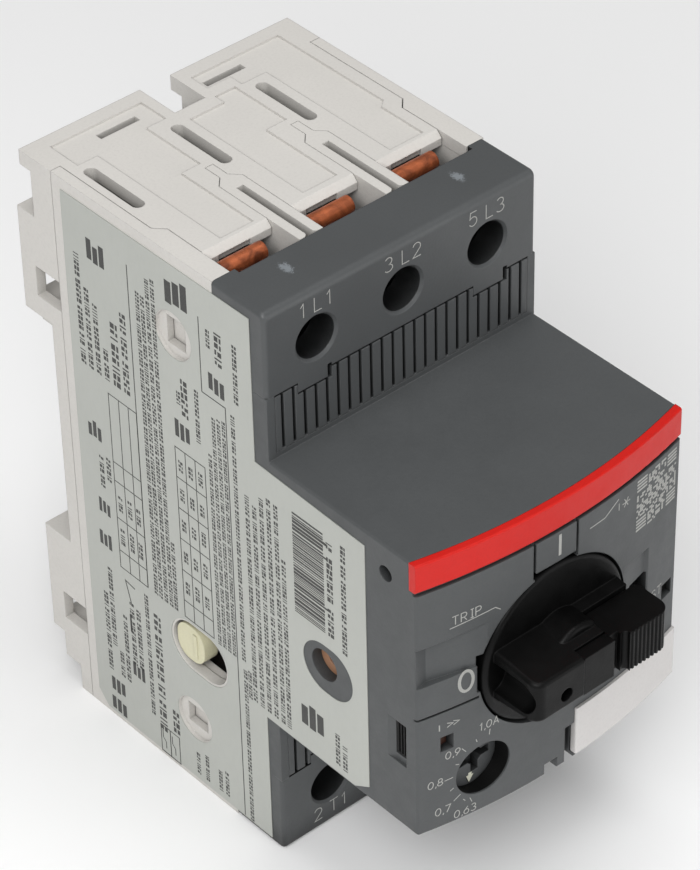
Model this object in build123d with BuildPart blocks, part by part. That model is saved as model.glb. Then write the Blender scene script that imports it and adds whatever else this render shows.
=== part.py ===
"""Motor protection breaker, three poles, 45 mm wide, with a rotary handle and a rail clip.

Frame: +X to the right seen from the front, +Y to the rear (into the rail), +Z up.
The origin is the centre of the face that sits on the mounting rail. Lengths are in millimetres.
"""
import math
import os

from build123d import *

os.makedirs("parts", exist_ok=True)

# ---------------------------------------------------------------- driving dimensions
WIDTH = 45.0
HEIGHT = 90.0
FRONT_HEIGHT = 45.0
WALL = 1.6

Y_FRONT = -71.1          # side edges of the convex front
BULGE = 2.8              # how far the middle of the front stands before its side edges
Y_TERMINAL = -44.2       # face with the terminal screws
Y_SPLIT = -34.5          # joint between the dark front shells and the light rear shells
Y_COVER = -2.7           # rear edge of the side covers
Y_RECESS = -0.4          # floor of the rail recess, around the seat pad
Y_FOOT = 5.2             # rear face of both rail feet
Y_TOP_LIP = 3.8          # rear edge of the top plate

HALF_W = WIDTH / 2
HALF_H = HEIGHT / 2
HALF_FRONT = FRONT_HEIGHT / 2
FRONT_R = (HALF_W**2 + BULGE**2) / (2 * BULGE)
FRONT_CY = Y_FRONT - BULGE + FRONT_R

POLE_PITCH = 14.2
POLES = (-POLE_PITCH, 0.0, POLE_PITCH)
BARRIERS = (-POLE_PITCH / 2, POLE_PITCH / 2)
COVER_T = 1.65           # side cover thickness
BASE_X = HALF_W - COVER_T
CHAMBER_X = BASE_X - 1.25
CHAMBER_Z = HALF_H - 2.0
CHAMBER_REAR = -4.4
PARTITION = 1.2
JOINT = 0.1              # open joint line between two shells
OUTSIDE = -80.0          # before the whole front section, where cuts into it start
FRONT_INNER = -68.5      # inner face of the front wall
THROUGH = -68.0          # behind the front wall, where cuts through it end

SCREW_Z = 37.6           # terminal screws above and below the middle
SCREW_HOLE_R = 3.1
SHROUD_Z = 32.2          # inner end of each terminal shroud

KNOB_X = -1.3
KNOB_R = 12.1
KNOB_RECESS_R = 12.35
KNOB_FLOOR = -70.3
KNOB_FACE = -73.6
HANDLE_FRONT = -81.4
SHAFT_R = 3.5
RUNNING = 0.05

DIAL_X = -12.95
DIAL_Z = -15.3
DIAL_R = 4.03
DIAL_FACE = -70.8
DIAL_SHAFT_R = 1.8

FRAME_Y = -66.0          # front face of the mechanism frame
COIL_Z = 22.0
BIMETAL_Y = -12.0
SLIDER_Z = -7.0


def at_front(y):
    """Plane facing the front at this Y; local axes are X and Z."""
    return Plane.XZ.offset(-y)


def at_side(x):
    """Plane facing the right at this X; local axes are Y and Z."""
    return Plane.YZ.offset(x)


def at_level(z):
    """Horizontal plane at this Z; local axes are X and Y."""
    return Plane.XY.offset(z)


def front_y(x):
    """Y of the convex front surface at this X."""
    return FRONT_CY - math.sqrt(FRONT_R**2 - x**2)


def block(x0, x1, y0, y1, z0, z1, mode=Mode.ADD):
    """A box between two corners, in the part being built."""
    with Locations(((x0 + x1) / 2, (y0 + y1) / 2, (z0 + z1) / 2)):
        Box(abs(x1 - x0), abs(y1 - y0), abs(z1 - z0), mode=mode)


def rod_y(x, z, radius, y0, y1, mode=Mode.ADD):
    """A round bar along Y."""
    with BuildSketch(at_front(y1)) as section:
        with Locations((x, z)):
            Circle(radius)
    extrude(section.sketch, amount=y1 - y0, mode=mode)


def rod_x(y, z, radius, x0, x1, mode=Mode.ADD):
    """A round bar along X."""
    with BuildSketch(at_side(x0)) as section:
        with Locations((y, z)):
            Circle(radius)
    extrude(section.sketch, amount=x1 - x0, mode=mode)


def front_band(x0, x1, z0, z1, proud, inset, mode=Mode.ADD):
    """A strip that follows the convex front, from `proud` before it to `inset` behind it."""
    with BuildSketch(at_level(z0)) as section:
        with Locations((0, FRONT_CY)):
            Circle(FRONT_R + proud)
            Circle(FRONT_R - inset, mode=Mode.SUBTRACT)
        with Locations(((x0 + x1) / 2, Y_FRONT)):
            Rectangle(x1 - x0, 16, mode=Mode.INTERSECT)
    extrude(section.sketch, amount=z1 - z0, mode=mode)


def coil_spring(start, direction, radius, wire, length, turns):
    """A helical wire spring from `start` along `direction`, made on its own."""
    with BuildPart() as spring:
        with BuildLine():
            path = Helix(length / turns, length, radius, center=start, direction=direction)
        with BuildSketch(path ^ 0):
            Circle(wire)
        sweep(is_frenet=True)
    return spring.part


def finish(builder, name):
    """Labels the finished piece and writes it."""
    builder.part.label = name
    export_step(builder.part, f"parts/{name}.step")


# ---------------------------------------------------------------- rear housing
FOOT_UP = (19.4, 35.6)
FOOT_LOW = (-36.4, -18.0)
PAD_Z = 14.5
HOOK_Z = 15.9
CLIP_X = 8.3
BARRIER_REAR = -15.6
BARRIER_NECK = 0.6
BARRIER_HALF = 1.9
BARRIER_SLOT = 0.55      # half width of the deep slot in each barrier
LID_FRONT = -30.0
LID_CHAMFER = 0.9
LID_INSET = (-3.4, 1.7, 0.4)     # ends and depth of the darker inset under each lid's lip
CLAMP_BAR = (-32.0, 43.4, 1.2)  # place in Y and Z, and radius
CLAMP_BAR_X = (-4.9, 1.9)
SHROUD_REAR = -35.4       # rear edge of a shroud's outer wall, between its corner tabs
SHROUD_REAR_X = (-18.8, 19.8)
SHROUD_WALL = 1.5
COVER_STEP = (-21.0, -22.5)   # start and end of the slanted shoulder in the cover's edge
COVER_CORNER = 2.95      # width of the cover's thicker front corners, from the side
PANEL_DEPTH = 0.35
VENT_SLOT = (11.2, 1.8, 2.5)  # length, width and depth of the rounded slots in the top and bottom


def cover_outline(side, clearance):
    """Plan of a side cover's end: flat wall with a thicker front corner behind a slanted shoulder."""
    inner = side * (BASE_X + JOINT - clearance)
    corner = side * (HALF_W - COVER_CORNER - clearance)
    shoulder_rear, shoulder_front = (y + clearance for y in COVER_STEP)
    points = [
        (side * (HALF_W + 1), Y_COVER - JOINT + clearance), (inner, Y_COVER - JOINT + clearance),
        (inner, shoulder_rear), (corner, shoulder_front), (corner, Y_SPLIT), (side * (HALF_W + 1), Y_SPLIT),
    ]
    with BuildLine() as outline:
        Polyline(*points, close=True)
    make_face(outline.edges())


def top_panel(*points):
    """A shallow sunk panel in the top plate, from its corners in plan."""
    with BuildSketch(at_level(HALF_H)) as panel:
        with BuildLine() as outline:
            Polyline(*points, close=True)
        make_face(outline.edges())
    extrude(panel.sketch, amount=-PANEL_DEPTH, mode=Mode.SUBTRACT)


def barrier_outline(x, clearance):
    """Plan of one phase barrier: a narrow tail that widens into the front part."""
    neck = BARRIER_NECK + clearance
    wide = BARRIER_HALF + clearance
    rear = BARRIER_REAR + clearance
    points = [
        (x - neck, rear), (x + neck, rear), (x + neck, rear - 2.9), (x + wide, rear - 4.3),
        (x + wide, Y_SPLIT), (x - wide, Y_SPLIT), (x - wide, rear - 4.3), (x - neck, rear - 2.9),
    ]
    with BuildLine() as outline:
        Polyline(*points, close=True)
    make_face(outline.edges())


with BuildPart() as base_housing:
    block(-BASE_X, BASE_X, Y_SPLIT, Y_COVER, -HALF_H, HALF_H)
    block(-HALF_W, HALF_W, Y_COVER, Y_RECESS, -HALF_H, HALF_H)
    block(-21, 21, Y_RECESS, 0, -PAD_Z, PAD_Z)
    block(-HALF_W, HALF_W, Y_RECESS, 1.6, FOOT_UP[1], HALF_H)
    block(-HALF_W, HALF_W, 1.6, Y_TOP_LIP, HALF_H - 2.3, HALF_H)
    block(-HALF_W, HALF_W, Y_RECESS, Y_FOOT, *FOOT_UP)
    block(-HALF_W, HALF_W, Y_RECESS, Y_FOOT, *FOOT_LOW)
    block(-HALF_W, HALF_W, Y_RECESS, 2.8, FOOT_LOW[0] - 4.3, FOOT_LOW[0])
    for side in (-1, 1):
        block(side * 10, side * 20, 1.4, Y_FOOT, HOOK_Z, FOOT_UP[0])
        # hollow feet, open to the rear, with a window in the outer wall
        for z0, z1, window in ((21.0, 34.0, 25.05), (-34.9, -20.0, -31.05)):
            block(side * 9.8, side * 21.0, -1.9, Y_FOOT, z0, z1, Mode.SUBTRACT)
            block(side * 20, side * HALF_W, Y_COVER, 2.3, window - 2.4, window + 2.4, Mode.SUBTRACT)
    # pole chambers, open to the front
    inner = POLE_PITCH / 2 - PARTITION / 2
    outer = POLE_PITCH / 2 + PARTITION / 2
    for x0, x1 in ((-CHAMBER_X, -outer), (-inner, inner), (outer, CHAMBER_X)):
        block(x0, x1, Y_SPLIT, CHAMBER_REAR, -CHAMBER_Z, CHAMBER_Z, Mode.SUBTRACT)
    for x in BARRIERS:
        with BuildSketch(at_level(-HALF_H)):
            barrier_outline(x, 0.06)
        extrude(amount=HEIGHT, mode=Mode.SUBTRACT)
        block(x - 1, x + 1, -15.7, -8.8, SLIDER_Z - 1.3, SLIDER_Z + 1.3, Mode.SUBTRACT)
    for end in (-1, 1):
        # front edges of the lids stand back from the terminal shrouds
        block(-BASE_X, BASE_X, Y_SPLIT, LID_FRONT, end * CHAMBER_Z, end * HALF_H, Mode.SUBTRACT)
        for side in (-1, 1):
            with BuildSketch(at_level(end * CHAMBER_Z)):
                cover_outline(side, JOINT)
            extrude(amount=end * (HALF_H - CHAMBER_Z), mode=Mode.SUBTRACT)
        lip = base_housing.edges().filter_by(Axis.X).filter_by_position(
            Axis.Z, end * HALF_H - 0.01, end * HALF_H + 0.01
        ).filter_by_position(Axis.Y, LID_FRONT - 0.01, LID_FRONT + 0.01)
        chamfer(lip, LID_CHAMFER)
        if end > 0:
            top_panel(
                (-19.2, 1.5), (-4.3, 1.5), (-4.3, -3.6), (-7.5, -3.6), (-7.5, -14.4), (-10.6, -14.4),
                (-10.6, -28.4), (-16.0, -28.4), (-16.0, -4.2), (-19.2, -4.2),
            )
            top_panel((-2.2, -5.8), (3.5, -5.8), (3.5, -28.0), (-2.2, -28.0))
            top_panel((3.5, -4.0), (6.9, -4.0), (6.9, -14.3), (3.5, -14.3))
            top_panel(
                (4.0, 1.5), (18.9, 1.5), (18.9, -19.5), (17.75, -20.4), (17.75, -28.4), (12.0, -28.4),
                (12.0, -4.2), (7.9, -4.2), (7.9, -1.9), (4.0, -1.9),
            )
        for x in POLES:
            length, width, depth = VENT_SLOT
            with BuildSketch(at_level(end * HALF_H)):
                with Locations((x - 4.65, -11.1)):
                    SlotOverall(length, width, rotation=90)
            extrude(amount=-end * depth, mode=Mode.SUBTRACT)
        for x in POLES:
            # the lip stands back between two small tabs
            left, right, depth = LID_INSET
            inside = end * (HALF_H - LID_CHAMFER - 0.05)
            block(
                x + left, x + right, LID_FRONT - 0.01, LID_FRONT + depth, inside, end * CHAMBER_Z,
                Mode.SUBTRACT,
            )
    # notch and rectangular slots in the top plate
    block(-2.7, 2.4, -3.4, Y_TOP_LIP, FOOT_UP[1], HALF_H, Mode.SUBTRACT)
    for x0, x1 in ((-13.05, -6.7), (4.6, 11.05)):
        block(x0, x1, -1.2, -0.1, HALF_H - 4.0, HALF_H, Mode.SUBTRACT)
    # track of the rail clip through the lower foot
    block(-CLIP_X, CLIP_X, 0.3, 2.1, -HALF_H, FOOT_LOW[1], Mode.SUBTRACT)
    block(-CLIP_X + 1.5, CLIP_X - 1.5, 2.1, Y_FOOT, -HALF_H, FOOT_LOW[1], Mode.SUBTRACT)
    # window for the auxiliary contact lever
    block(-BASE_X, -CHAMBER_X, Y_SPLIT, -21.9, -24.2, -15.6, Mode.SUBTRACT)
finish(base_housing, "base_housing")


def side_cover(side):
    """Flat side shell with thicker front corners, seen on the top and bottom as a stepped joint."""
    block(side * (BASE_X + JOINT), side * HALF_W, Y_SPLIT, Y_COVER - JOINT, -HALF_H, HALF_H)
    for end in (-1, 1):
        with BuildSketch(at_level(end * CHAMBER_Z)) as plan:
            cover_outline(side, 0)
        extrude(plan.sketch, amount=end * (HALF_H - CHAMBER_Z))
    block(side * HALF_W, side * (HALF_W + 2), Y_SPLIT, 0, -HALF_H, HALF_H, Mode.SUBTRACT)


RECESSES = ((-26.3, 32.15, 3.6, 4.3), (-26.2, -33.2, 4.0, 3.4))
LEVER_WINDOW = (-28.05, -19.9, 11.1, 8.0)

with BuildPart() as left_side_cover:
    side_cover(-1)
    for y, z, dy, dz in RECESSES:
        with BuildSketch(at_side(-HALF_W)):
            with Locations((y, z)):
                Circle(3.5)
        extrude(amount=0.5, mode=Mode.SUBTRACT)
        block(-HALF_W, -BASE_X + 0.2, y - dy / 2, y + dy / 2, z - dz / 2, z + dz / 2, Mode.SUBTRACT)
    with BuildSketch(at_side(-HALF_W)):
        with Locations(LEVER_WINDOW[:2]):
            SlotOverall(*LEVER_WINDOW[2:])
    extrude(amount=COVER_T + 1, mode=Mode.SUBTRACT)
finish(left_side_cover, "left_side_cover")

with BuildPart() as right_side_cover:
    side_cover(1)
finish(right_side_cover, "right_side_cover")

SLOT_FRONT = -21.6
for number, x in enumerate(BARRIERS, 1):
    with BuildPart() as phase_barrier:
        with BuildSketch(at_level(-HALF_H)):
            barrier_outline(x, 0)
        extrude(amount=HEIGHT)
        block(x - BARRIER_SLOT, x + BARRIER_SLOT, Y_SPLIT, SLOT_FRONT, -HALF_H, HALF_H, Mode.SUBTRACT)
        # cross web between the two leaves, and relief where the contacts move
        block(x - 1.2, x + 1.2, -24.0, -22.0, -CHAMBER_Z + 4, CHAMBER_Z - 4)
        # tips of the leaves, which reach the shroud's outer wall
        for end in (-1, 1):
            for side in (-1, 1):
                block(
                    x + side * BARRIER_SLOT, x + side * BARRIER_HALF, SHROUD_REAR + JOINT, Y_SPLIT,
                    end * (HALF_H - SHROUD_WALL + JOINT), end * HALF_H,
                )
        tips = phase_barrier.edges().filter_by(Axis.Z).group_by(Axis.Y)[0]
        fillet([tip for tip in tips if abs(tip.center().X - x) < BARRIER_SLOT + 0.1], 0.7)
    finish(phase_barrier, f"phase_barrier_{number}")

# ---------------------------------------------------------------- front shells
GRILLE_Z = (23.3, SHROUD_Z)
GRILLE_X = 21.2
FACE_T = 1.8              # wall round the grilles
GRILLE_T = 1.75
GRILLE_GAP = 0.5          # width and depth of the gaps between the slats
GAP_DEPTH = 1.4
SLAT_STEP = 0.3           # how far the slats end before the shroud
GRILLE_PITCH = 1.816
GRILLE_SLOTS = 23
STRIPE_Z = (18.1, HALF_FRONT)
PLATE_X = (2.1, HALF_W)
PLATE_Z = (-21.9, -13.9)
SIDE_SOCKET = (-53.7, -4.9)
SIDE_SOCKET_R = 2.4
LOUVRE_Y = (-69.1, -66.8)
LOUVRE_Z = (-11.0, -5.0)
ON_MARK_X = (-5.2, 1.9)   # grooves on both sides of the ON mark
LOCK_WINDOW_X = (12.3, 15.9)
LOCK_WINDOW_Z = (-3.0, 0.1)
FLAG_X = -18.3
FLAG_Z = -8.2
TEST_X = 20.5
TEST_Z = -6.05
TABS = ((-17.4, -12.6), (11.8, 16.9))  # ends of the tabs that reach from a shroud over its grille
TAB_Z = 30.7
TAB_T = 1.5
TAB_NOTCH = 0.7
BOSSES = ((-15.5, 17.0), (12.6, 17.0), (-14.8, -1.0), (12.6, -17.0))
# bottom, top and plan of each pocket, which is deepest at its middle point
POCKETS = (
    (2.5, 8.9, ((-HALF_W - 0.1, -71.0), (-20.5, -70.6), (-12.4, front_y(-12.4)))),
    (-3.0, 4.2, ((10.9, front_y(10.9)), (15.6, -72.1), (16.1, front_y(16.1)))),
)
BOSS_R = 2.0
BOSS_HOLE_R = 1.1

with BuildPart() as front_housing:
    with BuildSketch(at_level(-HALF_FRONT)):
        with BuildLine():
            Polyline((-HALF_W, Y_FRONT), (-HALF_W, Y_SPLIT), (HALF_W, Y_SPLIT), (HALF_W, Y_FRONT))
            ThreePointArc((HALF_W, Y_FRONT), (0, Y_FRONT - BULGE), (-HALF_W, Y_FRONT))
        make_face()
    extrude(amount=FRONT_HEIGHT)
    fillet(front_housing.edges().filter_by(Axis.Z).group_by(Axis.Y)[0], 0.4)
    rim = front_housing.edges().filter_by(GeomType.CIRCLE) + front_housing.edges().filter_by(Axis.Y)
    fillet(rim, 0.35)
    block(-HALF_W, HALF_W, Y_TERMINAL, Y_SPLIT, -SHROUD_Z, SHROUD_Z)
    inner_x = HALF_W - WALL
    inner_z = HALF_FRONT - WALL
    block(-inner_x, inner_x, FRONT_INNER, Y_SPLIT, -inner_z, inner_z, Mode.SUBTRACT)
    block(-inner_x, inner_x, Y_TERMINAL + FACE_T, Y_SPLIT, -SHROUD_Z + 0.6, SHROUD_Z - 0.6, Mode.SUBTRACT)
    for end in (-1, 1):
        low, high = sorted((end * GRILLE_Z[0], end * GRILLE_Z[1]))
        block(-GRILLE_X, GRILLE_X, Y_TERMINAL, Y_TERMINAL + FACE_T, low, high, Mode.SUBTRACT)
    # seats of the stripe, the marker plate and the dark line under the stripe
    front_band(-HALF_W, HALF_W, STRIPE_Z[0], HALF_FRONT, 0.5, 1.2, Mode.SUBTRACT)
    front_band(-HALF_W, HALF_W, STRIPE_Z[0] - 0.5, STRIPE_Z[0], 0.5, 0.6, Mode.SUBTRACT)
    front_band(PLATE_X[0], PLATE_X[1], *PLATE_Z, 0.5, 0.9, Mode.SUBTRACT)
    # knob recess with the shaft hole
    rod_y(KNOB_X, 0, KNOB_RECESS_R, OUTSIDE, KNOB_FLOOR, Mode.SUBTRACT)
    block(-13.95, -10, OUTSIDE, KNOB_FLOOR, -2.0, 4.0, Mode.SUBTRACT)
    block(*ON_MARK_X, OUTSIDE, KNOB_FLOOR, 8, 12.9, Mode.SUBTRACT)
    rod_y(KNOB_X, 0, SHAFT_R + 0.3, KNOB_FLOOR, THROUGH, Mode.SUBTRACT)
    rod_y(DIAL_X, DIAL_Z, DIAL_R + 0.07, OUTSIDE, THROUGH, Mode.SUBTRACT)
    # windows of the front: lock, trip flag and test button
    block(*LOCK_WINDOW_X, OUTSIDE, THROUGH, *LOCK_WINDOW_Z, Mode.SUBTRACT)
    block(FLAG_X - 0.95, FLAG_X + 0.95, OUTSIDE, THROUGH, FLAG_Z - 1.25, FLAG_Z + 1.25, Mode.SUBTRACT)
    block(TEST_X - 1.1, TEST_X + 1.1, OUTSIDE, -59.0, TEST_Z - 1.25, TEST_Z + 1.25, Mode.SUBTRACT)
    # fine grooves beside the ON mark, left of the knob and in the lower edge
    for x in ON_MARK_X:
        front_band(x - 0.23, x + 0.23, 12.0, 17.7, 0.5, 0.6, Mode.SUBTRACT)
    front_band(-HALF_W, -13.6, -2.95, -2.55, 0.5, 0.6, Mode.SUBTRACT)
    # shallow slanted pockets on both sides of the knob
    for z0, z1, points in POCKETS:
        with BuildSketch(at_level(z0)) as pocket:
            with BuildLine() as outline:
                Polyline(*points, (points[-1][0], -76), (points[0][0], -76), close=True)
            make_face(outline.edges())
        extrude(pocket.sketch, amount=z1 - z0, mode=Mode.SUBTRACT)
    front_band(-3.1, -0.8, -HALF_FRONT, -20.6, 0.5, 1.6, Mode.SUBTRACT)
    front_band(0.4, PLATE_X[0], -HALF_FRONT, -16.4, 0.5, 1.6, Mode.SUBTRACT)
    # left side: accessory socket, small round hole and louvre window
    rod_x(*SIDE_SOCKET, SIDE_SOCKET_R, -HALF_W, -inner_x, Mode.SUBTRACT)
    rod_x(-65.7, 18.1, 1.15, -HALF_W, -inner_x, Mode.SUBTRACT)
    block(-HALF_W, -inner_x, *LOUVRE_Y, *LOUVRE_Z, Mode.SUBTRACT)
    with BuildSketch(at_level(LOUVRE_Z[0] - 1.0)) as slope:
        with BuildLine() as outline:
            Polyline(
                (-HALF_W - 0.1, LOUVRE_Y[1] + 1.4), (-HALF_W + 0.4, LOUVRE_Y[1]),
                (-HALF_W + 0.4, LOUVRE_Y[0]), (-HALF_W - 0.1, LOUVRE_Y[0]), close=True,
            )
        make_face(outline.edges())
    extrude(slope.sketch, amount=LOUVRE_Z[1] - LOUVRE_Z[0] + 1.0, mode=Mode.SUBTRACT)
    for x, z in BOSSES:
        rod_y(x, z, BOSS_R, FRONT_INNER, FRAME_Y)
        rod_y(x, z, BOSS_HOLE_R, -68.3, FRAME_Y, Mode.SUBTRACT)
finish(front_housing, "front_housing")

for end, name in ((1, "line"), (-1, "load")):
    with BuildPart() as shroud:
        low, high = sorted((end * SHROUD_Z, end * HALF_H))
        block(-HALF_W, HALF_W, Y_TERMINAL, Y_SPLIT, low, high)
        outermost = -1 if end > 0 else 0
        front_edges = shroud.edges().filter_by(Axis.X).group_by(Axis.Y)[0]
        fillet(front_edges.sort_by(Axis.Z)[outermost], 1.0)
        top_face = shroud.faces().sort_by(Axis.Z)[outermost]
        fillet(top_face.edges().filter_by(Axis.Y), 0.6)
        low, high = sorted((end * (SHROUD_Z + 1.2), end * (HALF_H - 1.5)))
        for x in POLES:
            half = POLE_PITCH / 2 - 0.6
            block(x - half, x + half, Y_TERMINAL + 4.5, Y_SPLIT, low, high, Mode.SUBTRACT)
            rod_y(x, end * SCREW_Z, SCREW_HOLE_R, Y_TERMINAL - 1, Y_TERMINAL + 5, Mode.SUBTRACT)
        rims = shroud.edges().filter_by(GeomType.CIRCLE).group_by(Axis.Y)[0]
        chamfer(rims, 0.35)
        low, high = sorted((end * (HALF_H - SHROUD_WALL), end * HALF_H))
        block(*SHROUD_REAR_X, SHROUD_REAR, Y_SPLIT, low, high, Mode.SUBTRACT)
        for x0, x1 in TABS:
            low, high = sorted((end * TAB_Z, end * SHROUD_Z))
            block(x0, x1, Y_TERMINAL, Y_TERMINAL + TAB_T, low, high)
            low, high = sorted((end * SHROUD_Z, end * (SHROUD_Z + 0.4)))
            block(x1, x1 + TAB_NOTCH, Y_TERMINAL, Y_TERMINAL + TAB_T, low, high, Mode.SUBTRACT)
    finish(shroud, f"{name}_terminal_shroud")

    with BuildPart() as grille:
        low, high = sorted((end * (GRILLE_Z[0] + 0.04), end * (GRILLE_Z[1] - 0.04)))
        block(-GRILLE_X + 0.04, GRILLE_X - 0.04, Y_TERMINAL, Y_TERMINAL + GRILLE_T, low, high)
        # gaps between the slats, and a step above them that keeps clear of the shroud and its tabs
        with Locations((0, Y_TERMINAL, (low + high) / 2)):
            with GridLocations(GRILLE_PITCH, 1, GRILLE_SLOTS, 1):
                Box(GRILLE_GAP, 2 * GAP_DEPTH, high - low - 0.3, mode=Mode.SUBTRACT)
        low, high = sorted((end * (GRILLE_Z[1] - SLAT_STEP), end * GRILLE_Z[1]))
        block(-GRILLE_X, GRILLE_X, Y_TERMINAL, Y_TERMINAL + 0.9, low, high, Mode.SUBTRACT)
        for x0, x1 in TABS:
            low, high = sorted((end * (TAB_Z - SLAT_STEP), end * GRILLE_Z[1]))
            block(x0 - 0.05, x1 + TAB_NOTCH, Y_TERMINAL, Y_TERMINAL + TAB_T + 0.05, low, high, Mode.SUBTRACT)
    finish(grille, f"{name}_vent_grille")

with BuildPart() as red_stripe:
    front_band(-HALF_W, HALF_W, STRIPE_Z[0] + 0.03, HALF_FRONT, 0, 1.15)
    fillet(red_stripe.edges().filter_by(GeomType.CIRCLE).sort_by(SortBy.RADIUS)[-2:], 0.3)
finish(red_stripe, "red_stripe")

with BuildPart() as marker_plate:
    front_band(PLATE_X[0] + 0.05, PLATE_X[1], PLATE_Z[0] + 0.05, PLATE_Z[1] - 0.05, 0.35, 0.85)
    fillet(marker_plate.edges().filter_by(Axis.Z).group_by(Axis.X)[0], 0.3)
finish(marker_plate, "marker_plate")

LABEL_T = 0.1
with BuildPart() as side_label:
    with BuildSketch(at_side(-HALF_W - LABEL_T)) as label_face:
        with BuildLine():
            Polyline(
                (-4.6, 43.2), (-41.5, 43.2), (-41.5, 21.0), (-62.0, 20.2), (-62.0, -20.3),
                (-59.2, -22.0), (-41.8, -22.0), (-41.8, -44.2), (-6.6, -44.2), (-4.6, -42.0), close=True,
            )
        make_face()
        fillet(label_face.vertices().filter_by_position(Axis.Y, -62.1, -61.9), 1.2)
        fillet(label_face.vertices().filter_by_position(Axis.Y, -41.6, -41.4).sort_by(Axis.Z)[-1:], 3.0)
        for y, z, _, _ in RECESSES:
            with Locations((y, z)):
                Circle(3.6, mode=Mode.SUBTRACT)
        with Locations(LEVER_WINDOW[:2]):
            SlotOverall(LEVER_WINDOW[2] + 0.6, LEVER_WINDOW[3] + 0.6, mode=Mode.SUBTRACT)
        with Locations((-54.45, -5.4)):
            SlotOverall(9.5, 8.0, mode=Mode.SUBTRACT)
    extrude(amount=LABEL_T)
finish(side_label, "side_label")

with BuildPart() as side_socket_insert:
    rod_x(*SIDE_SOCKET, SIDE_SOCKET_R + 1.2, -HALF_W + WALL, -HALF_W + WALL + 2.0)
    rod_x(*SIDE_SOCKET, 0.9, -HALF_W + WALL, -HALF_W + WALL + 2.0, Mode.SUBTRACT)
finish(side_socket_insert, "side_socket_insert")

with BuildPart() as side_louvre:
    inner = -HALF_W + WALL
    outer = -HALF_W + 0.45
    block(outer, inner, LOUVRE_Y[0] + 0.05, LOUVRE_Y[1] - 0.05, LOUVRE_Z[0] + 0.05, LOUVRE_Z[1] - 0.05)
    block(inner, inner + 1.2, FRONT_INNER + 0.1, -66.0, LOUVRE_Z[0] - 1.0, LOUVRE_Z[1] + 1.0)
    for y in (-68.5, -67.95, -67.4):
        block(outer, outer + 0.8, y - 0.14, y + 0.14, LOUVRE_Z[0] + 0.4, LOUVRE_Z[1] - 0.4, Mode.SUBTRACT)
finish(side_louvre, "side_louvre")

# ---------------------------------------------------------------- handle
BAR_LEFT = KNOB_X - 10.6
BAR_RIGHT = KNOB_X + 10.6
BAR_BASE = 4.1            # half height of the bar at its root and at its front
BAR_TIP = 3.1
TONGUE_X = -3.8
GRIP_X = 1.4
GRIP_END = 10.95
GRIP_FRONT = -81.8
GRIP_REAR = -75.3
TONGUE_REAR = -79.4
HOLE = (-6.8, -0.9, 1.0)  # place in X and Z, and radius, of the hole in the bar's front
CHANNEL_X = BAR_LEFT - 0.4
CHANNEL_R = 2.45
CHANNEL_FRONT = -78.5
HUB_R = 4.7               # hub round the knob's axis, which stands out of both flanks
HUB_FRONT = -78.0
GRIP_GROOVES = 9
GRIP_PITCH = 0.7
RIDGE_X = 3.2
RIDGE_R = 0.55            # first rib of the grip, taller than the others
RIDGE_LAP = 0.4           # less than the radius, so that rib and grip meet in a face

with BuildPart() as handle_knob:
    rod_y(KNOB_X, 0, KNOB_R, KNOB_FACE, KNOB_FLOOR - 0.2)
    rim = handle_knob.edges().filter_by(GeomType.CIRCLE).group_by(Axis.Y)[0]
    fillet(rim, 0.7)
    with BuildSketch(at_side(BAR_LEFT)):
        with BuildLine():
            Polyline(
                (KNOB_FACE + 1, -BAR_BASE), (HANDLE_FRONT, -BAR_TIP), (HANDLE_FRONT, BAR_TIP),
                (KNOB_FACE + 1, BAR_BASE), close=True,
            )
        make_face()
    extrude(amount=BAR_RIGHT - BAR_LEFT)
    # rounded ends in plan, and softened front edges
    ends = handle_knob.edges().filter_by_position(Axis.X, BAR_LEFT - 0.01, BAR_LEFT + 0.01)
    fillet(ends.group_by(Axis.Y)[0], 1.6)
    sides = handle_knob.edges().filter_by(Axis.X).group_by(Axis.Y)[0]
    fillet(sides, 0.6)
    # finger channel along the left end, closed by a lip at the front
    rod_y(CHANNEL_X, 0, CHANNEL_R, CHANNEL_FRONT, KNOB_FACE, Mode.SUBTRACT)
    with Locations((CHANNEL_X, CHANNEL_FRONT, 0)):
        Sphere(CHANNEL_R, mode=Mode.SUBTRACT)
    with BuildPart() as hub:
        rod_y(KNOB_X, 0, HUB_R, HUB_FRONT, KNOB_FACE + 0.5)
        fillet(hub.edges().filter_by(GeomType.CIRCLE).group_by(Axis.Y)[0], 0.7)
    # room for the lock slide
    block(TONGUE_X, 12, HANDLE_FRONT - 1, TONGUE_REAR, -5, 5, Mode.SUBTRACT)
    block(GRIP_X - 0.1, 12, HANDLE_FRONT - 1, GRIP_REAR, -5, 5, Mode.SUBTRACT)
    block(GRIP_X - 0.2, BAR_RIGHT - 0.5, GRIP_REAR - 2.4, GRIP_REAR + 0.5, -1.0, 1.0)
    rod_y(*HOLE, HANDLE_FRONT - 1, HANDLE_FRONT + 4, Mode.SUBTRACT)
finish(handle_knob, "handle_knob")

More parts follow.
